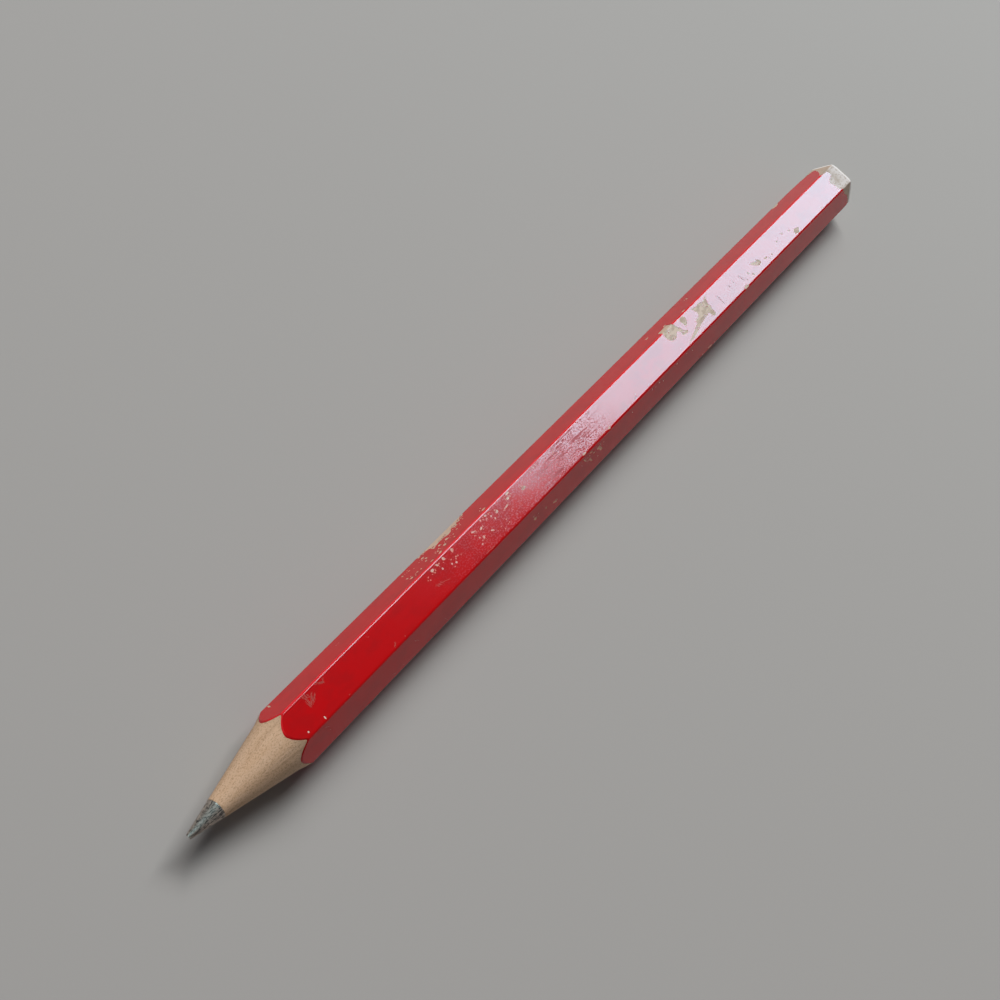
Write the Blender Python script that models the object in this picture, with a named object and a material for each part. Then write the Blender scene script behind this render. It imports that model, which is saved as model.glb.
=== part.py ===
"""A worn hexagonal pencil that lies on one flat, with its sharpened point towards -X.

A graphite lead is glued between two grooved slats of wood. A thin coat of lacquer covers the slats,
and it is chipped through to the wood in many places and worn off at the blunt end.
Inside each mesh X runs from the point (0) to the blunt end, and the pencil's axis is y = z = 0.
"""

import math
import random

import bmesh
import bpy
from mathutils import Vector

MM = 0.001

# Overall sizes
LENGTH = 150.0 * MM
ACROSS_FLATS = 7.0 * MM
CORNER_RADIUS = 0.4 * MM

# Pieces
LACQUER_THICKNESS = 0.08 * MM
LEAD_DIAMETER = 2.5 * MM
LEAD_RECESS = 0.25 * MM

# Sharpened point
SHARPENING_ANGLE = math.radians(24.9)
POINT_DIAMETER = 0.62 * MM
POINT_WEAR_DEPTH = 0.12 * MM
POINT_WEAR_SLANT = math.radians(24.0)

# Where the sharpened cone meets the flats the sharpener has cut it a little steeper
SHOULDER_DEPTH = 0.05 * MM
SHOULDER_ANGLE = math.radians(18.8)

# Worn rim of the blunt end, from the sharp corners of an unworn one
RIM_WEAR_WIDTH = 0.85 * MM
RIM_WEAR_LENGTH = 0.6 * MM

# Clearances of the glue line, and between the lead, the wood and the lacquer
GLUE_LINE = 0.04 * MM
LEAD_CLEARANCE = 0.03 * MM
LACQUER_CLEARANCE = 0.02 * MM

# Facets
TURNED_SEGMENTS = 120
CORNER_STEPS = 5
GROOVE_STEPS = 20
RIM_STEPS = 7
CHIP_POINTS = 9
SHARP_EDGE_ANGLE = math.radians(20)

# How far a small chip's outline strays from an oval, as shares of its radius
CHIP_LEAST_SPREAD = 0.78
CHIP_MOST_SPREAD = 1.18

# Colours, as linear light
GRAPHITE_COLOUR = (0.09, 0.09, 0.1)
WOOD_COLOUR = (0.46, 0.3, 0.18)
LACQUER_COLOUR = (0.46, 0.003, 0.004)

# How far a cutter reaches past what it cuts
OVERCUT = 1.0 * MM

SIDES = 6
SIDE_TURN = 2 * math.pi / SIDES
HALF_SIDE_TURN = SIDE_TURN / 2

# The faces are numbered round the axis, from the top one towards +Y
TOP, LEFT, LOWER_LEFT, BOTTOM, LOWER_RIGHT, RIGHT = range(SIDES)

# Large chips as outlines: millimetres from the point, and across the face from its middle line
OUTLINED_CHIPS = (
    (LEFT, ((44.0, 2.5), (44.15, 1.45), (44.85, 1.65), (46.05, 1.35), (46.0, 0.4), (46.6, 0.6), (47.3, 0.75),
            (48.3, 0.7), (49.0, 0.4), (49.6, 0.55), (50.15, 1.0), (50.65, 0.7), (51.15, 0.8), (51.45, 1.25),
            (51.95, 0.95), (52.45, 1.55), (53.15, 1.45), (53.55, 1.85), (53.7, 2.5))),
    (LEFT, ((136.0, 1.5), (136.5, 1.35), (137.2, 1.5), (137.9, 1.9), (137.9, 2.5), (135.8, 2.5),
            (135.7, 1.9))),
    (TOP, ((96.35, 0.95), (96.35, 1.35), (96.65, 2.5), (99.05, 2.5), (99.35, 1.25), (99.65, 0.85),
           (99.75, 0.2), (100.25, 0.0), (100.25, -0.35), (99.45, -0.35), (98.95, -0.1), (99.1, 0.5),
           (98.65, 0.8), (97.95, 0.3), (97.35, 0.15), (96.65, 0.4))),
    (TOP, ((100.65, 0.5), (100.55, 1.25), (100.65, 1.75), (101.55, 1.8), (101.85, 1.45), (101.55, 0.85),
           (100.95, 0.45))),
    (TOP, ((103.8, 1.65), (104.8, 1.35), (105.8, 1.5), (106.8, 1.2), (107.9, 1.6), (107.3, 1.05),
           (106.9, 0.3), (107.1, 0.05), (106.8, -0.4), (106.7, -1.25), (106.3, -1.45), (105.9, -1.25),
           (105.8, -0.5), (104.8, -0.7), (103.8, -0.75), (102.8, -0.95), (101.55, -1.3), (100.35, -1.55),
           (98.55, -1.55), (99.75, -1.3), (101.25, -0.85), (102.6, -0.45), (102.8, 0.0), (103.8, 0.1),
           (104.2, 0.6), (104.0, 1.25))),
    (TOP, ((119.15, 0.2), (119.7, 0.1), (120.3, -0.1), (120.9, -0.1), (121.3, -0.5), (120.9, -0.9),
           (120.2, -0.9), (119.9, -0.6), (119.45, -0.4))),
    (TOP, ((130.85, -1.55), (131.35, -1.05), (131.6, -0.8), (132.3, -1.0), (132.7, -1.05), (132.4, -1.4),
           (132.1, -1.75), (131.45, -1.7), (131.15, -1.4))),
    (RIGHT, ((73.9, 1.05), (74.5, 1.15), (74.85, 0.75), (75.15, 0.35), (75.3, 0.05), (74.75, 0.05),
             (74.45, 0.55), (73.95, 0.75))),
    (LOWER_LEFT, ((31.0, 2.5), (31.3, 1.3), (32.0, 0.9), (32.9, 1.1), (33.4, 0.7), (34.0, 1.2),
                  (34.9, 1.3), (35.2, 2.5))),
    (LOWER_RIGHT, ((112.0, -2.5), (112.2, -1.4), (113.1, -0.9), (113.9, -1.1), (114.5, -0.6),
                   (115.2, -1.0), (115.6, -1.5), (115.8, -2.5))),
)

# Small chips: distance from the point, place across the face, length, width, and turn in degrees
SMALL_CHIPS = {
    TOP: (
        (16.3, -1.45, 0.25, 0.25, 0), (18.9, -1.65, 0.22, 0.4, 0), (42.2, 1.4, 0.5, 0.4, 0),
        (43.2, 1.45, 0.3, 0.4, 10), (43.4, 0.7, 0.3, 0.3, 0), (44.5, 1.45, 0.4, 0.45, -10),
        (46.2, 1.5, 0.4, 0.45, 0), (45.4, 0.05, 0.35, 0.3, 0), (44.8, 0.3, 0.25, 0.25, 0),
        (50.2, 1.2, 0.6, 0.25, -20), (50.3, 0.15, 0.25, 0.25, 0), (50.8, -0.15, 0.35, 0.35, 0),
        (51.4, 0.8, 0.6, 0.25, 15), (52.4, -0.35, 0.6, 0.24, -30), (52.2, 1.55, 0.3, 0.25, 0),
        (53.2, 1.55, 0.4, 0.25, 0), (53.8, 1.0, 0.3, 0.25, 0), (54.0, 0.45, 0.3, 0.25, 20),
        (54.9, 0.9, 0.6, 0.35, 20), (56.4, 0.5, 1.0, 0.2, 5), (57.5, 1.1, 0.5, 0.3, 0),
        (58.0, 1.6, 0.8, 0.26, 0), (60.3, 0.6, 0.9, 0.35, 10), (49.9, -0.65, 0.3, 0.2, 0),
        (71.1, -1.85, 0.9, 0.25, 0), (77.2, -1.85, 0.6, 0.25, 0), (115.1, -1.8, 1.2, 0.5, 0),
        (117.4, -0.6, 0.25, 0.6, 10), (118.1, -1.25, 0.6, 0.3, -30), (122.5, -0.85, 0.8, 0.3, -15),
        (123.1, -1.3, 0.35, 0.25, 0), (124.1, -1.15, 0.45, 0.2, 0), (126.9, -0.3, 0.4, 0.22, 0),
        (129.0, 0.0, 0.4, 0.2, 0), (130.6, -0.45, 0.35, 0.25, 0), (139.9, -1.65, 0.3, 0.25, 0),
    ),
    LEFT: (
        (16.7, 1.4, 0.28, 0.7, -10), (40.1, -0.95, 0.6, 0.35, 0), (41.3, -0.85, 0.4, 0.3, 0),
        (41.9, -1.0, 0.3, 0.25, 0), (40.0, -0.25, 0.3, 0.4, 0), (40.5, 1.1, 0.3, 0.3, 0),
        (43.5, -0.4, 0.35, 0.3, 0), (43.5, -1.5, 0.6, 0.25, 0), (44.1, 0.1, 0.4, 0.35, 0),
        (44.1, 0.8, 0.45, 0.4, 30), (46.7, 0.05, 0.5, 0.4, 30), (46.8, -0.85, 0.5, 0.5, 0),
        (46.0, -0.45, 0.3, 0.3, 0), (45.4, -0.85, 0.35, 0.35, 0), (45.2, -1.45, 0.7, 0.3, 20),
        (48.0, -0.1, 0.6, 0.5, 0), (48.4, -1.15, 0.25, 0.25, 0), (49.0, -0.45, 0.25, 0.22, 0),
        (50.1, -0.1, 0.3, 0.3, 0), (54.1, -1.45, 0.7, 0.35, 10), (54.4, -0.65, 0.25, 0.25, 0),
        (95.7, 0.3, 0.5, 0.4, 0), (107.1, 0.45, 0.4, 0.6, -20), (98.9, -0.8, 0.9, 0.3, 15),
        (102.9, -1.6, 0.8, 0.4, 0),
    ),
    RIGHT: (
        (59.4, 0.0, 0.7, 0.45, -30), (61.9, -0.1, 0.3, 0.45, 0), (63.9, -0.6, 1.0, 0.3, -20),
        (71.0, 1.1, 0.9, 0.24, -50), (72.4, 0.2, 1.2, 0.28, -50), (72.5, 1.4, 0.7, 0.24, -15),
        (73.2, 0.85, 0.35, 0.25, 0), (102.1, -1.75, 0.5, 0.22, 0), (104.2, -1.7, 1.3, 0.35, 0),
        (109.6, -1.85, 0.8, 0.25, 0),
    ),
    LOWER_LEFT: (
        (24.5, -1.5, 0.6, 0.3, 0), (58.0, 0.6, 0.5, 0.4, 20), (59.2, 1.2, 0.4, 0.3, 0),
        (85.0, -1.6, 0.9, 0.3, 0), (121.0, 1.5, 0.7, 0.4, 0),
    ),
    BOTTOM: (
        (38.0, 1.5, 0.6, 0.4, 0), (66.0, -1.5, 0.8, 0.35, 0), (98.0, -0.6, 0.5, 0.4, 30),
        (127.0, 1.4, 0.6, 0.4, 0),
    ),
    LOWER_RIGHT: (
        (29.0, 1.5, 0.5, 0.35, 0), (52.5, -1.4, 0.8, 0.35, 0), (81.0, 0.5, 0.5, 0.3, 40),
        (96.5, 1.6, 0.7, 0.3, 0),
    ),
}

# Ragged rear edge of the lacquer: degrees round the axis from the top towards +Y, and millimetres
# forward from the blunt end
REAR_EDGE = (
    (0, 4.4), (3, 4.3), (9, 3.9), (12, 3.2), (14, 2.6), (20, 2.6), (27, 2.7), (30, 4.1), (33, 4.4),
    (40, 3.5), (47, 2.8), (56, 2.1), (65, 1.7), (74, 1.3), (79, 1.7), (83, 2.9), (86, 5.0), (89, 8.5),
    (91, 8.2), (94, 4.6), (98, 2.9), (104, 2.2), (112, 2.6), (120, 2.0), (131, 2.8), (143, 2.1),
    (152, 3.1), (160, 2.4), (172, 2.2), (181, 2.9), (190, 2.3), (201, 2.6), (211, 3.2), (222, 2.2),
    (236, 1.9), (247, 2.4), (259, 2.0), (266, 1.6), (271, 1.4), (275, 1.0), (281, 0.9), (286, 1.0),
    (295, 1.3), (300, 1.5), (306, 1.9), (311, 2.3), (315, 3.1), (321, 2.6), (326, 3.3), (331, 3.1),
    (334, 3.6), (338, 3.9), (343, 4.0), (349, 3.9), (354, 4.0),
)


def clear_scene():
    for obj in list(bpy.data.objects):
        bpy.data.objects.remove(obj, do_unlink=True)


def new_object(name, mesh, parent):
    obj = bpy.data.objects.new(name, mesh)
    bpy.context.collection.objects.link(obj)
    obj.parent = parent
    obj.location = (-LENGTH / 2, 0, 0)
    return obj


def new_cutter(name, mesh, parent):
    cutter = new_object(name, mesh, parent)
    cutter.hide_render = True
    cutter.display_type = "WIRE"
    return cutter


def add_boolean(obj, operation, cutter):
    modifier = obj.modifiers.new(cutter.name, "BOOLEAN")
    modifier.operation = operation
    modifier.solver = "EXACT"
    modifier.object = cutter
    return modifier


def finished_mesh(name, shape):
    bmesh.ops.recalc_face_normals(shape, faces=shape.faces)
    mesh = bpy.data.meshes.new(name)
    shape.to_mesh(mesh)
    shape.free()
    return mesh


def prism_mesh(name, outline, start, end):
    """The outline, a list of (y, z), extruded along X."""
    shape = bmesh.new()
    ring = [shape.verts.new((start, y, z)) for y, z in outline]
    face = shape.faces.new(ring)
    extruded = bmesh.ops.extrude_face_region(shape, geom=[face])["geom"]
    moved = [item for item in extruded if isinstance(item, bmesh.types.BMVert)]
    bmesh.ops.translate(shape, verts=moved, vec=(end - start, 0, 0))
    return finished_mesh(name, shape)


def turned_mesh(name, profile):
    """The profile, a list of (x, radius) that starts and ends on the axis, turned about X."""
    shape = bmesh.new()
    points = [shape.verts.new((x, 0, radius)) for x, radius in profile]
    edges = [shape.edges.new(pair) for pair in zip(points, points[1:])]
    bmesh.ops.spin(
        shape,
        geom=points + edges,
        cent=(0, 0, 0),
        axis=(1, 0, 0),
        angle=2 * math.pi,
        steps=TURNED_SEGMENTS,
        use_merge=True,
    )
    bmesh.ops.remove_doubles(shape, verts=shape.verts, dist=0.001 * MM)
    return finished_mesh(name, shape)


def corner_arc(flat_radius, round_radius, corner, start, end):
    """Points of one rounded corner of a hexagon, between two angles either side of its middle."""
    reach = (flat_radius - round_radius) / math.cos(HALF_SIDE_TURN)
    points = []
    for step in range(CORNER_STEPS + 1):
        angle = corner + start + (end - start) * step / CORNER_STEPS
        y = reach * math.cos(corner) + round_radius * math.cos(angle)
        z = reach * math.sin(corner) + round_radius * math.sin(angle)
        points.append((y, z))
    return points


def hexagon_outline(flat_radius, round_radius):
    points = []
    for side in range(SIDES):
        points += corner_arc(flat_radius, round_radius, side * SIDE_TURN, -HALF_SIDE_TURN, HALF_SIDE_TURN)
    return points


def wood_depth():
    """How deep the wood's own flats lie under the lacquered ones."""
    return LACQUER_THICKNESS + LACQUER_CLEARANCE


def slat_outline():
    """Half a hexagon above the glue line, with a round groove for the lead."""
    flat_radius = ACROSS_FLATS / 2 - wood_depth()
    round_radius = CORNER_RADIUS - wood_depth()
    glue_height = GLUE_LINE / 2
    start_angle = math.asin(glue_height / round_radius)
    points = corner_arc(flat_radius, round_radius, 0, start_angle, HALF_SIDE_TURN)
    points += corner_arc(flat_radius, round_radius, SIDE_TURN, -HALF_SIDE_TURN, HALF_SIDE_TURN)
    points += corner_arc(flat_radius, round_radius, 2 * SIDE_TURN, -HALF_SIDE_TURN, HALF_SIDE_TURN)
    points += corner_arc(flat_radius, round_radius, math.pi, -HALF_SIDE_TURN, -start_angle)
    groove_radius = LEAD_DIAMETER / 2 + LEAD_CLEARANCE
    groove_start = math.asin(glue_height / groove_radius)
    for step in range(GROOVE_STEPS + 1):
        angle = math.pi - groove_start - (math.pi - 2 * groove_start) * step / GROOVE_STEPS
        points.append((groove_radius * math.cos(angle), groove_radius * math.sin(angle)))
    return points


def taper():
    """Growth of the cone's radius for each unit of length."""
    return math.tan(SHARPENING_ANGLE / 2)


def envelope_profile():
    """What sharpening and wear leave: a cone at the point, and a rounded rim at the blunt end."""
    corner = ACROSS_FLATS / 2 / math.cos(HALF_SIDE_TURN)
    outer = corner + OVERCUT
    apex = -POINT_DIAMETER / 2 / taper()
    shoulder_radius = ACROSS_FLATS / 2 - SHOULDER_DEPTH
    shoulder = apex + shoulder_radius / taper()
    cone_end = shoulder + (outer - shoulder_radius) / math.tan(SHOULDER_ANGLE)
    rim_start = LENGTH - RIM_WEAR_LENGTH
    profile = [(apex, 0), (shoulder, shoulder_radius), (cone_end, outer), (rim_start, outer)]
    for step in range(RIM_STEPS + 1):
        angle = math.pi / 2 * step / RIM_STEPS
        radius = corner - RIM_WEAR_WIDTH * (1 - math.cos(angle))
        profile.append((rim_start + RIM_WEAR_LENGTH * math.sin(angle), radius))
    profile.append((LENGTH, 0))
    return profile


def lead_profile():
    radius = LEAD_DIAMETER / 2
    point_radius = POINT_DIAMETER / 2
    cone_end = (radius - point_radius) / taper()
    rear = LENGTH - LEAD_RECESS
    return [(0, 0), (0, point_radius), (cone_end, radius), (rear, radius), (rear, 0)]


def lead_mesh():
    """The turned lead, with the slanted flat that writing has worn on its tip."""
    mesh = turned_mesh("graphite_core", lead_profile())
    shape = bmesh.new()
    shape.from_mesh(mesh)
    normal = Vector((-math.cos(POINT_WEAR_SLANT), 0, -math.sin(POINT_WEAR_SLANT)))
    cut = bmesh.ops.bisect_plane(
        shape,
        geom=list(shape.verts) + list(shape.edges) + list(shape.faces),
        plane_co=(POINT_WEAR_DEPTH, 0, 0),
        plane_no=normal,
        clear_outer=True,
    )
    border = [item for item in cut["geom_cut"] if isinstance(item, bmesh.types.BMEdge)]
    bmesh.ops.holes_fill(shape, edges=border, sides=0)
    bmesh.ops.recalc_face_normals(shape, faces=shape.faces)
    shape.to_mesh(mesh)
    shape.free()
    return mesh


def tube_mesh(name, outer_outline, inner_outline, start, end):
    """A hexagonal tube: both outlines have the same number of points."""
    shape = bmesh.new()
    rings = []
    for outline, first, last in ((outer_outline, start, end), (inner_outline, end, start)):
        for x in (first, last):
            rings.append([shape.verts.new((x, y, z)) for y, z in outline])
    count = len(outer_outline)
    for ring, next_ring in zip(rings, rings[1:] + rings[:1]):
        for index in range(count):
            after = (index + 1) % count
            shape.faces.new((ring[index], ring[after], next_ring[after], next_ring[index]))
    return finished_mesh(name, shape)


def chip_outline(chip, seed):
    """An irregular outline round one small chip's place."""
    along, across, length, width, turn = chip
    chance = random.Random(seed)
    turn = math.radians(turn)
    points = []
    for index in range(CHIP_POINTS):
        angle = 2 * math.pi * index / CHIP_POINTS
        spread = chance.uniform(CHIP_LEAST_SPREAD, CHIP_MOST_SPREAD) / 2
        x = length * spread * math.cos(angle)
        y = width * spread * math.sin(angle)
        turned_x = x * math.cos(turn) - y * math.sin(turn)
        turned_y = x * math.sin(turn) + y * math.cos(turn)
        points.append((along + turned_x, across + turned_y))
    return points


def add_chip_prism(shape, face, outline):
    """A prism that stands on one face, from under the lacquer to above it."""
    turn = face * SIDE_TURN
    outward = Vector((0, math.sin(turn), math.cos(turn)))
    sideways = Vector((0, math.cos(turn), -math.sin(turn)))
    rings = []
    for height in (-OVERCUT, OVERCUT):
        ring = []
        for x, across in outline:
            place = sideways * across * MM + outward * (ACROSS_FLATS / 2 + height)
            place.x = x * MM
            ring.append(shape.verts.new(place))
        rings.append(ring)
    shape.faces.new(rings[0])
    shape.faces.new(rings[1])
    count = len(outline)
    for index in range(count):
        after = (index + 1) % count
        shape.faces.new((rings[0][index], rings[0][after], rings[1][after], rings[1][index]))


def chips_mesh():
    shape = bmesh.new()
    for face, outline in OUTLINED_CHIPS:
        add_chip_prism(shape, face, outline)
    for face, chips in SMALL_CHIPS.items():
        for index, chip in enumerate(chips):
            add_chip_prism(shape, face, chip_outline(chip, face * len(SMALL_CHIPS) + index))
    return finished_mesh("chip_cutters", shape)


def rear_edge_mesh():
    """A ring that takes the lacquer off behind its ragged rear edge."""
    inner = ACROSS_FLATS / 2 - OVERCUT
    outer = ACROSS_FLATS / 2 / math.cos(HALF_SIDE_TURN) + OVERCUT
    shape = bmesh.new()
    rings = []
    for radius, ragged in ((inner, True), (outer, True), (outer, False), (inner, False)):
        ring = []
        for degrees, back in REAR_EDGE:
            angle = math.radians(degrees)
            x = LENGTH - back * MM if ragged else LENGTH + OVERCUT
            ring.append(shape.verts.new((x, radius * math.sin(angle), radius * math.cos(angle))))
        rings.append(ring)
    count = len(REAR_EDGE)
    for ring, next_ring in zip(rings, rings[1:] + rings[:1]):
        for index in range(count):
            after = (index + 1) % count
            shape.faces.new((ring[index], ring[after], next_ring[after], next_ring[index]))
    bmesh.ops.triangulate(shape, faces=shape.faces)
    return finished_mesh("rear_edge_cutter", shape)


def plain_material(name, colour, roughness, metallic):
    material = bpy.data.materials.new(name)
    material.use_nodes = True
    shader = material.node_tree.nodes["Principled BSDF"]
    shader.inputs["Base Color"].default_value = (*colour, 1)
    shader.inputs["Roughness"].default_value = roughness
    shader.inputs["Metallic"].default_value = metallic
    return material


def smooth_round_sides(mesh):
    mesh.shade_smooth()
    mesh.set_sharp_from_angle(angle=SHARP_EDGE_ANGLE)


def make_lead(parent, material):
    lead = new_object("graphite_core", lead_mesh(), parent)
    lead.data.materials.append(material)
    smooth_round_sides(lead.data)


def make_slats(parent, envelope, material):
    """Two halves of the casing. The lower one is the upper one turned over, so they share their outline."""
    for name, flip in (("casing_upper", 1), ("casing_lower", -1)):
        outline = [(flip * y, flip * z) for y, z in slat_outline()]
        slat = new_object(name, prism_mesh(name, outline, -OVERCUT, LENGTH + OVERCUT), parent)
        slat.data.materials.append(material)
        smooth_round_sides(slat.data)
        add_boolean(slat, "INTERSECT", envelope)


def make_lacquer(parent, envelope, material):
    outer = hexagon_outline(ACROSS_FLATS / 2, CORNER_RADIUS)
    inner = hexagon_outline(ACROSS_FLATS / 2 - LACQUER_THICKNESS, CORNER_RADIUS - LACQUER_THICKNESS)
    tube = tube_mesh("lacquer_coat", outer, inner, OVERCUT, LENGTH + OVERCUT)
    lacquer = new_object("lacquer_coat", tube, parent)
    lacquer.data.materials.append(material)
    smooth_round_sides(lacquer.data)
    add_boolean(lacquer, "INTERSECT", envelope)
    add_boolean(lacquer, "DIFFERENCE", new_cutter("rear_edge_cutter", rear_edge_mesh(), parent))
    chips = add_boolean(lacquer, "DIFFERENCE", new_cutter("chip_cutters", chips_mesh(), parent))
    chips.use_self = True


clear_scene()
pencil = bpy.data.objects.new("pencil", None)
bpy.context.collection.objects.link(pencil)
pencil.location = (0, 0, ACROSS_FLATS / 2)
worn_envelope = new_cutter("worn_envelope", turned_mesh("worn_envelope", envelope_profile()), pencil)
make_lead(pencil, plain_material("graphite", GRAPHITE_COLOUR, roughness=0.42, metallic=0.5))
make_slats(pencil, worn_envelope, plain_material("wood", WOOD_COLOUR, roughness=0.75, metallic=0.0))
make_lacquer(pencil, worn_envelope, plain_material("red_lacquer", LACQUER_COLOUR, roughness=0.2, metallic=0.0))
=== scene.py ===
import math
import random

import bmesh
import bpy
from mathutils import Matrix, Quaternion, Vector


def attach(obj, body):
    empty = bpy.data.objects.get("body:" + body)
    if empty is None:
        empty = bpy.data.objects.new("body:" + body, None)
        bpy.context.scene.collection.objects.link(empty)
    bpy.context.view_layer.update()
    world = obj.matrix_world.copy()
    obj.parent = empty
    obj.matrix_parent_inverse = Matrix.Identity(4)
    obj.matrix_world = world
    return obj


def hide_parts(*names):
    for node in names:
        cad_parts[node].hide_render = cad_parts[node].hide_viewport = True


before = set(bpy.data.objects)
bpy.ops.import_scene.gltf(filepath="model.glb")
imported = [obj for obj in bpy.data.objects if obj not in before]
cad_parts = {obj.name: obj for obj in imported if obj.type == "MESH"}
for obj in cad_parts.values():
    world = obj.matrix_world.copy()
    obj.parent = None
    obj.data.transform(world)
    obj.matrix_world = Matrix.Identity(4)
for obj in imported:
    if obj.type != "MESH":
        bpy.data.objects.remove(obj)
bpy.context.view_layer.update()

MM = 0.001

# The camera stands close over the point's side of the pencil and is rolled well to one side, so the
# pencil runs from the lower left of the picture to its upper right.
camera_place = Vector((-132.9, -8.41, 161.09)) * MM
camera_target = Vector((-13.3, 2.08, 0.0)) * MM
camera_roll = math.radians(38.75)
camera_lens = 56.3
camera_film_width = 36.0
camera_nearest = 5.0 * MM

camera_data = bpy.data.cameras.new("camera")
camera_data.lens = camera_lens
camera_data.sensor_width = camera_film_width
camera_data.clip_start = camera_nearest
camera = bpy.data.objects.new("camera", camera_data)
bpy.context.scene.collection.objects.link(camera)
camera.location = camera_place
level_turn = (camera_target - camera_place).to_track_quat("-Z", "Y")
camera.rotation_mode = "QUATERNION"
camera.rotation_quaternion = level_turn @ Quaternion((0, 0, 1), camera_roll)
bpy.context.scene.camera = camera
bpy.context.scene.view_settings.view_transform = "Standard"

# The studio: a matt pale table top and one long softbox behind and to the left of the pencil. It is made
# of two lamps at much the same place: one lights the pencil, and the other is only mirrored in it, in the
# far half of the top flat and as a bright line along the left edge.
floor_colour = (0.43, 0.418, 0.405, 1.0)
floor_roughness = 0.9
floor_half_side = 3.0
key_distance = 1.8
key_azimuth = math.radians(25)
key_height_angle = math.radians(46)
key_roll = 0.0
key_size = (1.3, 0.7)
key_power = 37.0
key_colour = (1.0, 0.985, 0.97)
mirrored_distance = 0.9
mirrored_azimuth = math.radians(19.6)
mirrored_height_angle = math.radians(44.6)
mirrored_roll = math.radians(-40.4)
mirrored_size = (0.40, 0.63)
mirrored_power = 10.1
mirrored_colour = (0.43, 0.86, 1.0)
room_colour = (0.075, 0.075, 0.08, 1.0)
room_strength = 1.0


def new_object(name, shape):
    """An object in the scene with the form of a bmesh, which is used up."""
    mesh = bpy.data.meshes.new(name)
    shape.to_mesh(mesh)
    shape.free()
    made = bpy.data.objects.new(name, mesh)
    bpy.context.scene.collection.objects.link(made)
    return made


def new_finish(name):
    """A material with its tree and its shader."""
    material = bpy.data.materials.new(name)
    material.use_nodes = True
    return material, material.node_tree, material.node_tree.nodes["Principled BSDF"]


def set_inputs(tree, node, inputs):
    """Each listed input of a node set to a value or linked to another node's output."""
    for socket, value in inputs.items():
        if isinstance(value, bpy.types.NodeSocket):
            tree.links.new(value, node.inputs[socket])
        else:
            node.inputs[socket].default_value = value


def add_softbox(name, distance, azimuth, height_angle, roll, size, power, colour):
    """A rectangular lamp that faces the pencil's middle, turned on its own axis by the roll."""
    lamp = bpy.data.lights.new(name, "AREA")
    lamp.shape = "RECTANGLE"
    lamp.size = size[0]
    lamp.size_y = size[1]
    lamp.energy = power
    lamp.color = colour
    softbox = bpy.data.objects.new(name, lamp)
    bpy.context.scene.collection.objects.link(softbox)
    level = Vector((math.cos(azimuth), math.sin(azimuth), 0.0)) * math.cos(height_angle)
    softbox.location = distance * (level + Vector((0.0, 0.0, math.sin(height_angle))))
    softbox.rotation_mode = "QUATERNION"
    softbox.rotation_quaternion = (-softbox.location).to_track_quat("-Z", "Y") @ Quaternion((0, 0, 1), roll)
    return softbox


floor_shape = bmesh.new()
bmesh.ops.create_grid(floor_shape, x_segments=1, y_segments=1, size=floor_half_side)
floor = new_object("floor", floor_shape)
floor_paint, tree, shader = new_finish("floor_paint")
set_inputs(tree, shader, {"Base Color": floor_colour, "Roughness": floor_roughness})
floor.data.materials.append(floor_paint)

key = add_softbox("key", key_distance, key_azimuth, key_height_angle,
                  key_roll, key_size, key_power, key_colour)
key.visible_glossy = False
mirrored = add_softbox("mirrored", mirrored_distance, mirrored_azimuth, mirrored_height_angle,
                       mirrored_roll, mirrored_size, mirrored_power, mirrored_colour)
mirrored.visible_diffuse = False

room = bpy.data.worlds.new("room")
bpy.context.scene.world = room
room.use_nodes = True
set_inputs(room.node_tree, room.node_tree.nodes["Background"],
           {"Color": room_colour, "Strength": room_strength})

# The lead: a rod of fired graphite and clay, glued between the slats, sharpened with the wood and
# blunted by writing. Its cut sides are grey with a metal sheen, streaked by the sharpener's blade.
half_length = 75.0 * MM
axis_height = 3.5 * MM
flat_radius = 3.5 * MM
corner_radius = 0.4 * MM
side_count = 6
side_turn = math.radians(60)
cone_slope = math.radians(12.45)
shoulder_slope = math.radians(18.8)
shoulder_radius = 3.45 * MM
rim_wear_width = 0.85 * MM
rim_wear_length = 0.6 * MM
glue_half_gap = 0.03 * MM
merge_distance = 0.0005 * MM
# A facet takes a true curve's normal only where the two agree at least this well
flat_match = 0.998
rounded_match = 0.85
turned_match = 0.9
# A facet that leans less than this towards the pencil's ends runs along it
lengthwise_tilt = 0.03

dark_graphite = (0.034, 0.030, 0.033)
bright_graphite = (0.66, 0.55, 0.47)
graphite_metal = 0.65
graphite_sheen = {"span": (0.35, 0.65), "before": 0.55, "after": 0.36}
graphite_span = (0.41, 0.57)
graphite_depth = 0.05 * MM
streak_twist = 0.22
streak_noise = {"scale": 9.0, "detail": 4.0, "roughness": 0.7}
streak_share = 0.62
crumb_noise = {"scale": 7.0, "stretch": (0.6, 1.0, 1.0), "detail": 3.0, "roughness": 0.7}
crumb_share = 0.38


def round_the_axis(turn):
    """The direction at an angle round the pencil's axis, from the top towards +Y."""
    return Vector((0, math.sin(turn), math.cos(turn)))


def long_side_normal(place, face_normal):
    """The normal of the hexagon with rounded corners."""
    turn = math.atan2(place.y, place.z - axis_height)
    flat = round_the_axis(round(turn / side_turn) * side_turn)
    if flat.dot(face_normal) > flat_match:
        return flat
    corner = round_the_axis((math.floor(turn / side_turn) + 0.5) * side_turn)
    centre = corner * (flat_radius - corner_radius) / math.cos(side_turn / 2)
    rounded = (Vector((0, place.y, place.z - axis_height)) - centre).normalized()
    return rounded if rounded.dot(face_normal) > rounded_match else face_normal


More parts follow.
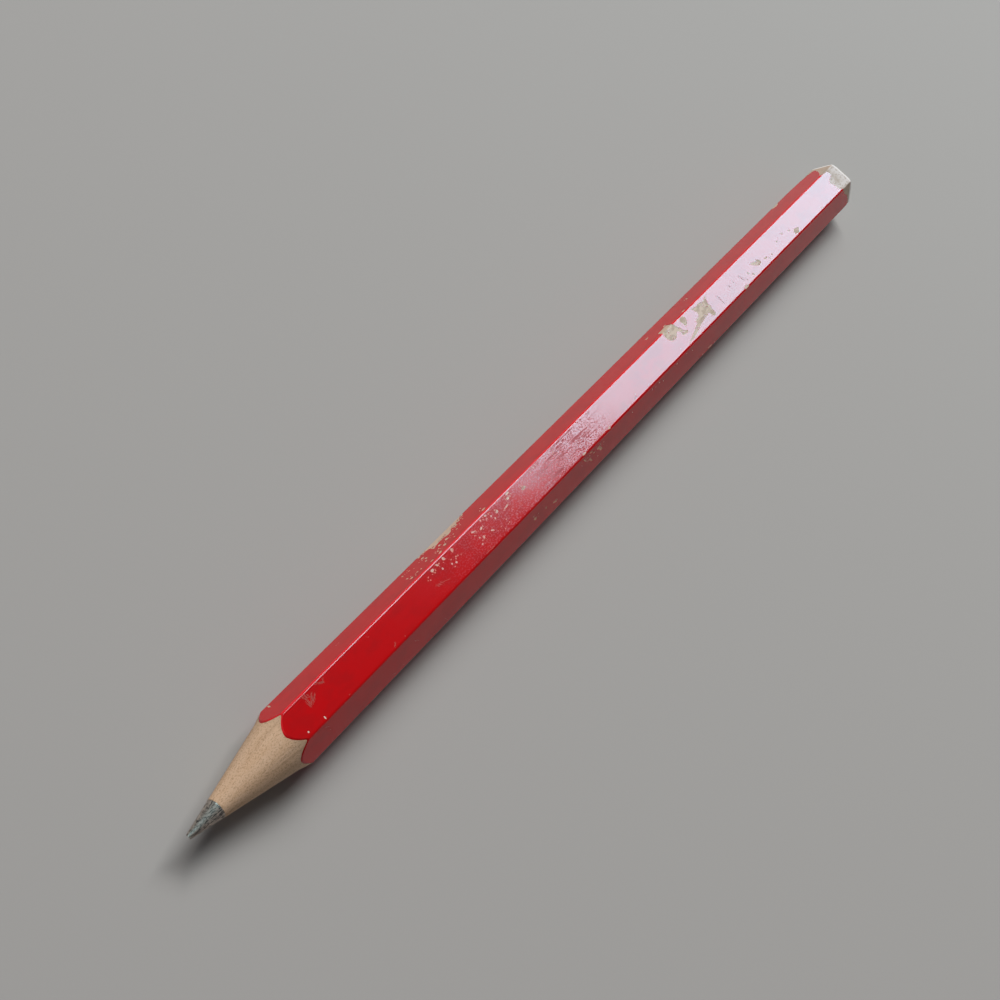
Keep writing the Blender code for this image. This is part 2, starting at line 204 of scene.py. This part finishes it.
def turned_normal(place, face_normal):
    """The normal of the sharpened cone, or of the worn rim at the blunt end."""
    across = Vector((0, place.y, place.z - axis_height))
    outward = across.normalized()
    if face_normal.x < 0:
        slope = cone_slope if across.length < shoulder_radius else shoulder_slope
        exact = outward * math.cos(slope) - Vector((math.sin(slope), 0, 0))
    else:
        rise = (place.x - half_length + rim_wear_length) / rim_wear_length
        turn = math.asin(min(max(rise, 0.0), 1.0))
        exact = outward * rim_wear_length * math.cos(turn) + Vector((rim_wear_width * math.sin(turn), 0, 0))
        exact.normalize()
    return exact if exact.dot(face_normal) > turned_match else face_normal


def dressed_copy(node_name, piece_name):
    """A piece with the node's own form, its loose triangles merged and its facets shaded as true curves."""
    shape = bmesh.new()
    shape.from_mesh(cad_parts[node_name].data)
    bmesh.ops.remove_doubles(shape, verts=shape.verts, dist=merge_distance)
    # The slats are glued, so the gap between them is closed
    if piece_name.startswith("slat"):
        for vert in shape.verts:
            if abs(vert.co.z - axis_height) < glue_half_gap:
                vert.co.z = axis_height
    piece = new_object(piece_name, shape)
    mesh = piece.data
    mesh.shade_smooth()
    normals = [Vector((0, 0, 1))] * len(mesh.loops)
    for face in mesh.polygons:
        exact = long_side_normal if abs(face.normal.x) < lengthwise_tilt else turned_normal
        for loop in face.loop_indices:
            place = mesh.vertices[mesh.loops[loop].vertex_index].co
            normals[loop] = exact(place, face.normal)
    mesh.normals_split_custom_set(normals)
    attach(piece, "root")
    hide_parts(node_name)
    return piece


def put(tree, kind, inputs=(), **settings):
    """A new node with these settings and inputs."""
    made = tree.nodes.new(kind)
    for name, value in settings.items():
        setattr(made, name, value)
    set_inputs(tree, made, dict(inputs))
    return made


def calculate(tree, operation, first, second=0.0, third=0.0):
    """The result of one step of arithmetic."""
    return put(tree, "ShaderNodeMath", {0: first, 1: second, 2: third}, operation=operation).outputs[0]


def product(tree, first, *others):
    """Values multiplied together."""
    for other in others:
        first = calculate(tree, "MULTIPLY", first, other)
    return first


def vector_step(tree, operation, inputs, output=0):
    """The result of one step of arithmetic with vectors."""
    return put(tree, "ShaderNodeVectorMath", inputs, operation=operation).outputs[output]


def axis_part(tree, vector, axis):
    """One of a vector's three parts."""
    return put(tree, "ShaderNodeSeparateXYZ", {0: vector}).outputs[axis]


def ramp(tree, value, span, after=1.0, before=0.0):
    """One value before the span, another after it, and a smooth change between."""
    inputs = {"Value": value, "From Min": span[0], "From Max": span[1], "To Min": before, "To Max": after}
    return put(tree, "ShaderNodeMapRange", inputs, interpolation_type="SMOOTHSTEP").outputs[0]


# The Mix node's sockets for colours come after its sockets for other kinds of value
mix_colour_inputs = (6, 7)
mix_colour_output = 2


def blend(tree, share, first, second):
    """Two colours mixed by a share."""
    mixed = put(tree, "ShaderNodeMix", {0: share}, data_type="RGBA")
    for socket, colour in zip(mix_colour_inputs, (first, second)):
        value = colour if isinstance(colour, bpy.types.NodeSocket) else (*colour, 1.0)
        set_inputs(tree, mixed, {socket: value})
    return mixed.outputs[mix_colour_output]


def noise(tree, place, scale, stretch=(1.0, 1.0, 1.0), detail=2.0, roughness=0.5):
    """Noise with this many features in a millimetre, drawn out along an axis by a small stretch value."""
    drawn = vector_step(tree, "MULTIPLY", {0: place, 1: stretch})
    inputs = {"Vector": drawn, "Scale": scale, "Detail": detail, "Roughness": roughness}
    return put(tree, "ShaderNodeTexNoise", inputs).outputs["Fac"]


def roughen(tree, shader, height, depth):
    """The shader's surface given a fine relief, with heights in parts of the depth."""
    bump = put(tree, "ShaderNodeBump", {"Height": height, "Strength": 1.0, "Distance": depth})
    set_inputs(tree, shader, {"Normal": bump.outputs[0]})


def new_group(name, outputs):
    """A node group with outputs only, and its output node."""
    group = bpy.data.node_groups.new(name, "ShaderNodeTree")
    for output, kind in outputs.items():
        group.interface.new_socket(output, in_out="OUTPUT", socket_type=kind)
    return group, group.nodes.new("NodeGroupOutput")


def use_group(tree, group):
    """A node group's outputs."""
    return put(tree, "ShaderNodeGroup", node_tree=group).outputs


# Where a spot lies, in millimetres from the pencil's middle, and the direction out from its axis. Along,
# Upward and Leftward are parts of the two and of the normal, and Level is how far the normal faces out.
position, position_out = new_group("pencil_position", {
    "Place": "NodeSocketVector", "Along": "NodeSocketFloat", "Outward": "NodeSocketVector",
    "Upward": "NodeSocketFloat", "Leftward": "NodeSocketFloat", "Level": "NodeSocketFloat",
})
raw_place = put(position, "ShaderNodeTexCoord").outputs["Object"]
large_place = vector_step(position, "SCALE", {0: raw_place, "Scale": 1.0 / MM})
mm_place = vector_step(position, "SUBTRACT", {0: large_place, 1: (0.0, 0.0, axis_height / MM)})
flat_place = vector_step(position, "MULTIPLY", {0: mm_place, 1: (0.0, 1.0, 1.0)})
outward = vector_step(position, "NORMALIZE", {0: flat_place})
facing = put(position, "ShaderNodeTexCoord").outputs["Normal"]
set_inputs(position, position_out, {
    "Place": mm_place,
    "Along": axis_part(position, mm_place, "X"),
    "Outward": outward,
    "Upward": axis_part(position, facing, "Z"),
    "Leftward": axis_part(position, outward, "Y"),
    "Level": vector_step(position, "DOT_PRODUCT", {0: facing, 1: outward}, "Value"),
})

# Long fibres of the wood, which also show faintly through the lacquer
fine_fibre_noise = {"scale": 5.0, "stretch": (0.07, 1.0, 1.0), "detail": 3.0, "roughness": 0.6}
broad_fibre_noise = {"scale": 1.1, "stretch": (0.06, 1.0, 1.0)}
fibres, fibres_out = new_group("wood_fibres", {"Fine": "NodeSocketFloat", "Broad": "NodeSocketFloat"})
fibre_place = use_group(fibres, position)["Place"]
set_inputs(fibres, fibres_out, {
    "Fine": noise(fibres, fibre_place, **fine_fibre_noise),
    "Broad": noise(fibres, fibre_place, **broad_fibre_noise),
})

# Grime in soft blotches
grime_noise = {"scale": 0.45, "stretch": (0.6, 1.0, 1.0), "detail": 4.0, "roughness": 0.6}
grime_span = (0.42, 0.66)
grime, grime_out = new_group("grime", {"Mask": "NodeSocketFloat"})
grime_place = use_group(grime, position)["Place"]
set_inputs(grime, grime_out, {"Mask": ramp(grime, noise(grime, grime_place, **grime_noise), grime_span)})

graphite, tree, shader = new_finish("sharpened_graphite")
where = use_group(tree, position)
twisted = product(tree, where["Along"], streak_twist)
streak_shift = put(tree, "ShaderNodeCombineXYZ", {"X": twisted}).outputs[0]
streak_place = vector_step(tree, "ADD", {0: where["Outward"], 1: streak_shift})
streaks = product(tree, noise(tree, streak_place, **streak_noise), streak_share)
crumbs = noise(tree, where["Place"], **crumb_noise)
streaks = calculate(tree, "MULTIPLY_ADD", crumbs, crumb_share, streaks)
set_inputs(tree, shader, {
    "Base Color": blend(tree, ramp(tree, streaks, graphite_span), dark_graphite, bright_graphite),
    "Roughness": ramp(tree, streaks, **graphite_sheen),
    "Metallic": graphite_metal,
})
roughen(tree, shader, streaks, graphite_depth)

lead = dressed_copy("graphite_core", "lead")
lead.data.materials.append(graphite)

# The casing: two slats of pale wood, glued round the lead and sharpened with it. The fresh cone is
# warm, and the wood laid bare at the blunt end has gone grey and dirty. Its worn rim is painted paler as a
# highlight, and its side facets are painted darker brown as shade.
pale_wood = (0.78, 0.54, 0.36)
brown_wood = (0.72, 0.48, 0.30)
brown_span, brown_share = (0.35, 0.65), 0.7
grain_noise = {"scale": 7.5, "stretch": (0.6, 1.0, 1.0), "roughness": 0.65}
pore_colour = (0.30, 0.16, 0.075)
pore_span, pore_share = (0.52, 0.66), 0.45
bright_fibre = (0.85, 0.68, 0.52)
bright_span, bright_share = (0.44, 0.30), 0.35
# Places along the pencil are millimetres from its middle
end_span = (0.0, 1.0)
end_wood = (0.72, 0.69, 0.68)
# Painted shade: the bare end's side facets, which face less upward, are given a darker brown
painted_end_shade = (0.52, 0.38, 0.28)
painted_end_shade_span, painted_end_shade_share = (0.95, 0.7), 0.85
end_dirt = (0.40, 0.33, 0.25)
end_dirt_span, end_dirt_share = (74.2, 72.6), 0.8
mottle_noise = {"scale": 2.6, "stretch": (0.7, 1.0, 1.0), "detail": 3.0, "roughness": 0.65}
mottle_span, mottle_share = (0.48, 0.62), 0.6
# Painted highlight: the worn rim of the blunt end is given a near-white colour
painted_rim_highlight = (0.92, 0.91, 0.90)
painted_rim_highlight_span, painted_rim_highlight_share = (74.45, 74.65), 0.8
end_face = (0.36, 0.30, 0.24)
end_face_span = (74.9, 74.97)
end_pore_span, end_pore_share = (0.46, 0.62), 0.6
wood_roughness = 0.72
wood_gloss = 0.15
fibre_depth = 0.008
grain_depth = 0.012

bare_wood, tree, shader = new_finish("bare_wood")
where = use_group(tree, position)
wood_fibre = use_group(tree, fibres)
dirt = use_group(tree, grime)
grain = noise(tree, where["Place"], **grain_noise)
fresh = blend(tree, ramp(tree, wood_fibre["Broad"], brown_span, brown_share), pale_wood, brown_wood)
fresh = blend(tree, ramp(tree, grain, pore_span, pore_share), fresh, pore_colour)
fresh = blend(tree, ramp(tree, grain, bright_span, bright_share), fresh, bright_fibre)
end_grime = product(tree, dirt["Mask"], ramp(tree, where["Along"], end_dirt_span, end_dirt_share))
mottle = ramp(tree, noise(tree, where["Place"], **mottle_noise), mottle_span, mottle_share)
end_grime = calculate(tree, "MAXIMUM", end_grime, mottle)
# Painted shade on the bare end's side facets
bared = blend(tree, ramp(tree, where["Upward"], painted_end_shade_span, painted_end_shade_share), end_wood, painted_end_shade)
bared = blend(tree, end_grime, bared, end_dirt)
# Painted highlight along the worn rim
bared = blend(tree, ramp(tree, where["Along"], painted_rim_highlight_span, painted_rim_highlight_share), bared, painted_rim_highlight)
cut_face = blend(tree, ramp(tree, grain, end_pore_span, end_pore_share), end_face, pore_colour)
bared = blend(tree, ramp(tree, where["Along"], end_face_span), bared, cut_face)
set_inputs(tree, shader, {
    "Base Color": blend(tree, ramp(tree, where["Along"], end_span), fresh, bared),
    "Roughness": wood_roughness,
    "Specular IOR Level": wood_gloss,
})
relief = product(tree, wood_fibre["Fine"], fibre_depth)
relief = calculate(tree, "MULTIPLY_ADD", grain, grain_depth, relief)
roughen(tree, shader, relief, MM)

for half in ("upper", "lower"):
    slat = dressed_copy("casing_" + half, "slat_" + half)
    slat.data.materials.append(bare_wood)

# The undercoat: a thin pale filler between the wood and the red, which is what most chips lay bare. It
# is whitish near the point and has gone grey and grubby farther back. On the side flats it is browner, with
# painted light on the shaded right side and painted shade on the lit left side.
undercoat_sink = 0.02 * MM
undercoat_start = 16.05 * MM - half_length
undercoat_end = 140.5 * MM - half_length
corner_steps = 4
filler_fresh = (0.80, 0.64, 0.56)
filler_old = (0.71, 0.62, 0.53)
filler_old_span = (4.0, 18.0)
filler_dirt = (0.36, 0.29, 0.22)
filler_fibre_span, filler_fibre_share = (0.45, 0.70), 0.4
blot_noise = {"scale": 1.6, "stretch": (0.7, 1.0, 1.0), "detail": 3.0, "roughness": 0.6}
blot_span, blot_share = (0.50, 0.62), 0.5
# Painted shade and light: the filler on the lit left side is darker, on the shaded right side lighter
filler_left_painted_shade = (0.64, 0.47, 0.35)
filler_right_painted_light = (0.92, 0.53, 0.38)
leftward_span = (-0.2, 0.2)
painted_side_span, painted_side_share = (0.9, 0.6), 0.9
filler_roughness = 0.7
filler_gloss = 0.03
filler_depth = 0.02 * MM

undercoat_shape = bmesh.new()
rings = []
for x in (undercoat_start, undercoat_end):
    ring = []
    for side in range(side_count):
        corner = (side + 0.5) * side_turn
        centre = round_the_axis(corner) * (flat_radius - corner_radius) / math.cos(side_turn / 2)
        for step in range(corner_steps + 1):
            out = round_the_axis(corner + side_turn * (step / corner_steps - 0.5))
            place = centre + out * (corner_radius - undercoat_sink)
            ring.append(undercoat_shape.verts.new(place + Vector((x, 0, axis_height))))
    rings.append(ring)
front_ring, rear_ring = rings
for index in range(len(front_ring)):
    after = (index + 1) % len(front_ring)
    corners = (front_ring[index], front_ring[after], rear_ring[after], rear_ring[index])
    undercoat_shape.faces.new(corners)
bmesh.ops.recalc_face_normals(undercoat_shape, faces=undercoat_shape.faces)
undercoat = new_object("undercoat", undercoat_shape)
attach(undercoat, "root")

filler, tree, shader = new_finish("pale_filler")
where = use_group(tree, position)
wood_fibre = use_group(tree, fibres)
aged = ramp(tree, where["Along"], filler_old_span)
colour = blend(tree, aged, filler_fresh, filler_old)
fibre_stain = ramp(tree, wood_fibre["Fine"], filler_fibre_span, filler_fibre_share)
colour = blend(tree, fibre_stain, colour, filler_dirt)
blots = ramp(tree, noise(tree, where["Place"], **blot_noise), blot_span, blot_share)
colour = blend(tree, product(tree, blots, aged), colour, filler_dirt)
# Painted light and shade on the side flats, by which way they turn
painted_side_colour = blend(tree, ramp(tree, where["Leftward"], leftward_span), filler_right_painted_light, filler_left_painted_shade)
colour = blend(tree, ramp(tree, where["Upward"], painted_side_span, painted_side_share), colour, painted_side_colour)
set_inputs(tree, shader, {
    "Base Color": colour,
    "Roughness": filler_roughness,
    "Specular IOR Level": filler_gloss,
})
roughen(tree, shader, wood_fibre["Fine"], filler_depth)
undercoat.data.materials.append(filler)

# The lacquer: a thin glossy red coat, dipped in many layers over the filler. It is very slightly
# pebbled, and the middle of its top flat carries pale specks, a painted reflection of the softbox glinting
# on the pebbles, and is scored and pitted.
deep_red = (0.57, 0.001, 0.003)
dull_red = (0.38, 0.006, 0.008)
dull_share = 0.35
top_span = (0.96, 0.99)
# A zone begins, is full, begins to fade and is gone at these places along the pencil
# Painted reflection: pale specks that stand in for the softbox glinting on the pebbled top flat
painted_glint_zone = (-38.0, -10.0, -6.0, 4.0)
painted_glint_colour = (0.70, 0.30, 0.36)
painted_glint_noise = {"scale": 4.6, "stretch": (0.8, 1.0, 1.0), "roughness": 0.6}
painted_glint_span, painted_glint_share = (0.52, 0.59), 0.52
scored_zone = (-18.0, -8.0, -4.0, 8.0)
scored_colour = (0.36, 0.001, 0.003)
score_noise = {"scale": 5.2, "stretch": (0.05, 1.0, 1.0)}
score_span, score_share = (0.54, 0.60), 0.65
pit_noise = {"scale": 4.8, "stretch": (0.6, 1.0, 1.0)}
pit_span, pit_share = (0.56, 0.61), 0.8
# A painted highlight: the rounded left edge is given a brighter red, between the directions of the left
# flat and of the top flat
painted_edge_highlight = (0.88, 0.02, 0.03)
edge_side_span = (0.55, 0.7)
edge_top_span = (0.99, 0.94)
# The walls of the chips are matt, and they face less far out than the flats
wall_span = (0.8, 0.6)
lacquer_ior = 1.5
worn_span = (0.0, 1.0)
glossy_roughness = 0.09
worn_roughness = 0.78
pebble_noise = {"scale": 6.0, "stretch": (0.9, 1.0, 1.0), "detail": 1.0}
pebble_span = (0.45, 0.72)
pebble_depth = 0.0007
shown_fibre_zone = (-24.0, -6.0, -2.0, 10.0)
shown_fibre_depth = 0.0025
least_fibre_depth = 0.0004


def along_zone(tree, along, places):
    """A share that rises and falls again along the pencil."""
    begins, full, fades, gone = places
    return product(tree, ramp(tree, along, (begins, full)), ramp(tree, along, (gone, fades)))


red_lacquer, tree, shader = new_finish("red_lacquer_gloss")
where = use_group(tree, position)
wood_fibre = use_group(tree, fibres)
dirt = use_group(tree, grime)
on_top = ramp(tree, where["Upward"], top_span)
colour = blend(tree, product(tree, dirt["Mask"], dull_share), deep_red, dull_red)
# Painted reflection specks on the middle of the top flat
glint_area = product(tree, along_zone(tree, where["Along"], painted_glint_zone), on_top)
painted_glints = ramp(tree, noise(tree, where["Place"], **painted_glint_noise), painted_glint_span)
colour = blend(tree, product(tree, painted_glints, glint_area, painted_glint_share), colour, painted_glint_colour)
scores = ramp(tree, noise(tree, where["Place"], **score_noise), score_span, score_share)
pits = ramp(tree, noise(tree, where["Place"], **pit_noise), pit_span, pit_share)
scored = product(tree, on_top, calculate(tree, "MAXIMUM", scores, pits))
scored = product(tree, along_zone(tree, where["Along"], scored_zone), scored)
colour = blend(tree, scored, colour, scored_colour)
# Painted highlight along the rounded left edge
painted_left_edge = product(tree, ramp(tree, where["Upward"], edge_side_span),
                    ramp(tree, where["Upward"], edge_top_span),
                    ramp(tree, where["Leftward"], leftward_span))
colour = blend(tree, painted_left_edge, colour, painted_edge_highlight)
worn = calculate(tree, "MAXIMUM", scored, ramp(tree, where["Level"], wall_span))
set_inputs(tree, shader, {
    "Base Color": colour,
    "Roughness": ramp(tree, worn, worn_span, worn_roughness, glossy_roughness),
    "IOR": lacquer_ior,
})
pebbles = ramp(tree, noise(tree, where["Place"], **pebble_noise), pebble_span)
shown_fibre = calculate(tree, "MULTIPLY_ADD", along_zone(tree, where["Along"], shown_fibre_zone),
                        shown_fibre_depth, least_fibre_depth)
relief = product(tree, pebbles, pebble_depth)
relief = calculate(tree, "MULTIPLY_ADD", wood_fibre["Fine"], shown_fibre, relief)
roughen(tree, shader, relief, MM)

coat = dressed_copy("lacquer_coat", "lacquer")
coat.data.materials.append(red_lacquer)

# Islands of lacquer: crumbs of the red coat that still cling to the filler inside and beside the chips.
# Each is a ragged spot of the coat's own red, level with the flat round it.
TOP, LEFT, RIGHT = 0, 1, 5
mark_lift = 0.004 * MM
spot_corners = 6
spot_sizes = (0.035, 0.105)
spot_stretch = 1.4
spot_raggedness = (0.5, 1.2)
spot_scatter = 0.5
flat_half_width = 1.75
# Face, place as millimetres from the point and across the face, spread each way, spots
island_clusters = (
    (LEFT, 50.4, 0.95, 0.7, 0.25, 12), (LEFT, 52.3, 1.45, 0.8, 0.3, 14), (LEFT, 48.4, 0.95, 1.2, 0.2, 9),
    (LEFT, 46.3, 0.8, 0.4, 0.35, 6), (LEFT, 44.9, 1.7, 0.6, 0.15, 6), (TOP, 97.2, 0.5, 0.7, 0.4, 8),
    (TOP, 99.4, 0.3, 0.5, 0.5, 8), (TOP, 97.6, 1.6, 0.7, 0.3, 6), (TOP, 104.6, -0.5, 0.9, 0.3, 9),
    (TOP, 101.3, -1.1, 1.2, 0.3, 9), (TOP, 106.4, 0.6, 0.4, 0.8, 9), (TOP, 106.3, 1.3, 0.6, 0.15, 5),
    (TOP, 120.2, -0.3, 0.6, 0.3, 6), (TOP, 131.9, -1.3, 0.5, 0.3, 5),
)


def add_marked_face(shape, face, spots):
    """One thin mark on a flat, its corners in millimetres from the point and across the flat."""
    turn = face * side_turn
    outward = round_the_axis(turn) * (flat_radius + mark_lift)
    sideways = Vector((0, math.cos(turn), -math.sin(turn)))
    places = []
    for spot in spots:
        place = outward + sideways * spot.y * MM + Vector((spot.x * MM - half_length, 0, axis_height))
        places.append(shape.verts.new(place))
    shape.faces.new(places)


def spot_marks(clusters):
    """Clusters of tiny ragged spots, most of them near the middle of their cluster."""
    chance = random.Random(len(clusters))
    shape = bmesh.new()
    for face, along, across, spread_along, spread_across, count in clusters:
        for _ in range(count):
            stray_along = spread_along * chance.gauss(0.0, spot_scatter)
            stray_across = spread_across * chance.gauss(0.0, spot_scatter)
            middle = Vector((along, across)) + Vector((stray_along, stray_across))
            size = chance.uniform(*spot_sizes)
            if abs(middle.y) > flat_half_width:
                continue
            corners = []
            for corner in range(spot_corners):
                turn = 2 * math.pi * corner / spot_corners
                reach = size * chance.uniform(*spot_raggedness)
                step = Vector((spot_stretch * reach * math.cos(turn), reach * math.sin(turn)))
                corners.append(middle + step)
            add_marked_face(shape, face, corners)
    return shape


islands = new_object("lacquer_islands", spot_marks(island_clusters))
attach(islands, "root")
islands.data.materials.append(red_lacquer)

# Scuffs and fine scratches: hair-thin marks where something hard has rubbed the gloss pale, or dulled
# it to grey. Each is a bundle of short strokes that lie flat on the lacquer.
pale_scuff_colour = (0.56, 0.15, 0.13, 1.0)
pale_scuff_roughness = 0.7
dull_scuff_colour = (0.24, 0.14, 0.14, 1.0)
dull_scuff_roughness = 0.8
mark_gloss = 0.03
stroke_width = 0.032
stroke_widths = (0.3, 1.0)
stroke_starts = (0.05, 0.95)
stroke_scatter = (-0.5, 0.5)
stroke_lengths = (0.08, 0.3)
stroke_slants = (-0.06, 0.06)
# Face, start and end as millimetres from the point and across the face, width of the bundle, strokes
pale_scuffs = (
    (TOP, 19.0, 1.8, 18.7, 0.3, 0.45, 30), (TOP, 19.0, 0.3, 20.1, 1.25, 0.5, 34),
    (TOP, 19.2, 1.5, 19.5, 0.9, 0.5, 12), (TOP, 20.9, 1.8, 21.9, 1.15, 0.3, 18),
    (TOP, 21.7, 1.2, 22.3, 1.7, 0.35, 12), (TOP, 31.2, -1.75, 31.8, -1.25, 0.2, 8),
    (TOP, 33.1, -1.8, 33.3, -1.5, 0.15, 5), (TOP, 22.85, -1.95, 23.0, -1.75, 0.12, 4),
    (TOP, 41.0, -0.1, 43.0, -1.0, 0.5, 12), (TOP, 49.2, -1.75, 50.9, -1.85, 0.1, 8),
    (TOP, 60.0, 0.85, 60.6, 0.55, 0.4, 12), (TOP, 29.5, 1.5, 29.9, 1.2, 0.1, 3),
    (LEFT, 27.4, 0.5, 27.8, 0.3, 0.3, 6), (LEFT, 36.3, 1.8, 36.8, 1.5, 0.2, 4),
    (RIGHT, 18.4, 1.2, 19.3, 0.7, 0.12, 4), (RIGHT, 19.0, 0.35, 19.3, 0.0, 0.1, 3),
    (RIGHT, 34.4, 0.4, 35.1, -0.1, 0.15, 5), (RIGHT, 30.0, -1.1, 30.5, -1.5, 0.15, 4),
    (RIGHT, 31.9, -1.3, 32.3, -1.6, 0.15, 4), (RIGHT, 37.2, -1.4, 38.3, -1.7, 0.12, 4),
    (RIGHT, 40.1, -0.9, 40.8, -1.7, 0.1, 3),
)
dull_scuffs = (
    (TOP, 109.4, 0.7, 109.4, -1.2, 0.25, 6), (TOP, 112.6, 0.2, 112.8, -0.9, 0.2, 4),
    (TOP, 113.8, 0.4, 113.9, -0.8, 0.2, 4), (TOP, 115.7, 0.1, 115.8, -1.1, 0.3, 8),
    (TOP, 116.1, -0.9, 116.4, -1.2, 0.2, 6), (TOP, 96.6, -1.15, 96.8, -1.3, 0.12, 4),
    (TOP, 76.4, 1.7, 76.8, 1.2, 0.3, 8), (TOP, 84.2, -1.7, 84.7, -1.1, 0.15, 6),
    (TOP, 87.4, -1.8, 87.8, -1.45, 0.12, 5), (TOP, 82.0, -1.8, 82.2, -1.55, 0.1, 3),
    (TOP, 102.9, -0.2, 103.4, 0.0, 0.1, 3), (TOP, 105.6, 1.0, 105.9, 0.8, 0.1, 3),
)


def scuff_marks(scuffs):
    """Every scuff as a bundle of slim diamonds."""
    chance = random.Random(len(scuffs))
    shape = bmesh.new()
    for face, along, across, end_along, end_across, width, strokes in scuffs:
        run = Vector((end_along - along, end_across - across))
        beside = Vector((-run.y, run.x)).normalized()
        for _ in range(strokes):
            middle = Vector((along, across)) + run * chance.uniform(*stroke_starts)
            middle += beside * width * chance.uniform(*stroke_scatter)
            reach = run * chance.uniform(*stroke_lengths) + beside * chance.uniform(*stroke_slants)
            thin = beside * stroke_width * chance.uniform(*stroke_widths)
            add_marked_face(shape, face, (middle - reach, middle - thin, middle + reach, middle + thin))
    return shape


def add_marks(name, shape, colour, roughness):
    """A piece made of marks, with a plain matt finish of the same name."""
    marks = new_object(name, shape)
    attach(marks, "root")
    finish, tree, shader = new_finish(name)
    set_inputs(tree, shader, {
        "Base Color": colour,
        "Roughness": roughness,
        "Specular IOR Level": mark_gloss,
    })
    marks.data.materials.append(finish)


add_marks("pale_scuffs", scuff_marks(pale_scuffs), pale_scuff_colour, pale_scuff_roughness)
add_marks("dull_scuffs", scuff_marks(dull_scuffs), dull_scuff_colour, dull_scuff_roughness)

# Flecks: places smaller than a chip where the gloss has been knocked off, so that a paler layer of the
# lacquer shows. They are clustered round the chips and along the right edge.
fleck_colour = (0.72, 0.37, 0.30, 1.0)
fleck_roughness = 0.7
# Face, place as millimetres from the point and across the face, spread each way, spots
fleck_clusters = (
    (TOP, 41.0, 0.9, 0.5, 0.4, 4), (TOP, 42.2, 1.1, 0.5, 0.3, 7), (TOP, 43.3, 1.2, 0.3, 0.5, 6),
    (TOP, 44.6, 1.3, 0.5, 0.4, 6), (TOP, 46.2, 1.4, 0.4, 0.3, 5), (TOP, 45.6, 0.5, 1.0, 0.5, 9),
    (TOP, 50.3, 0.9, 0.6, 0.3, 6), (TOP, 50.6, -0.5, 0.8, 0.6, 7), (TOP, 51.6, 0.7, 0.9, 0.3, 9),
    (TOP, 52.5, -0.4, 0.4, 0.3, 4), (TOP, 53.3, 1.3, 0.8, 0.4, 10), (TOP, 54.9, 0.9, 0.5, 0.4, 7),
    (TOP, 56.4, 0.5, 0.9, 0.3, 8), (TOP, 57.8, 1.3, 0.8, 0.4, 12), (TOP, 60.2, 0.7, 0.6, 0.4, 9),
    (TOP, 63.8, 1.5, 0.8, 0.35, 9), (TOP, 67.5, 1.2, 1.2, 0.5, 8), (TOP, 56.0, -1.0, 4.0, 0.8, 12),
    (LEFT, 40.4, -0.8, 0.9, 0.4, 8), (LEFT, 41.5, 0.9, 1.2, 0.6, 7), (LEFT, 43.6, 0.6, 0.8, 0.7, 9),
    (LEFT, 45.3, -0.9, 0.9, 0.6, 10), (LEFT, 47.2, -0.6, 0.8, 0.7, 9), (LEFT, 48.6, -0.3, 0.6, 0.5, 7),
    (LEFT, 50.6, 0.6, 1.0, 0.4, 12), (LEFT, 52.3, 1.2, 0.8, 0.4, 10), (LEFT, 54.2, -1.3, 0.5, 0.3, 5),
    (LEFT, 45.0, 1.5, 0.9, 0.3, 9), (RIGHT, 59.6, 0.1, 0.6, 0.4, 6), (RIGHT, 63.9, -0.5, 0.8, 0.4, 7),
    (RIGHT, 72.0, 0.8, 1.4, 0.8, 16), (RIGHT, 74.5, 0.6, 1.2, 0.8, 12), (RIGHT, 104.0, -1.6, 1.5, 0.3, 8),
    (RIGHT, 90.0, 1.2, 12.0, 0.6, 12), (TOP, 74.0, -1.8, 3.0, 0.15, 14), (TOP, 84.0, -1.85, 5.0, 0.12, 18),
    (LEFT, 96.0, 0.3, 0.6, 0.4, 5), (LEFT, 103.0, -1.4, 1.0, 0.4, 6), (LEFT, 107.0, 0.4, 0.5, 0.4, 5),
)

add_marks("pale_flecks", spot_marks(fleck_clusters), fleck_colour, fleck_roughness)
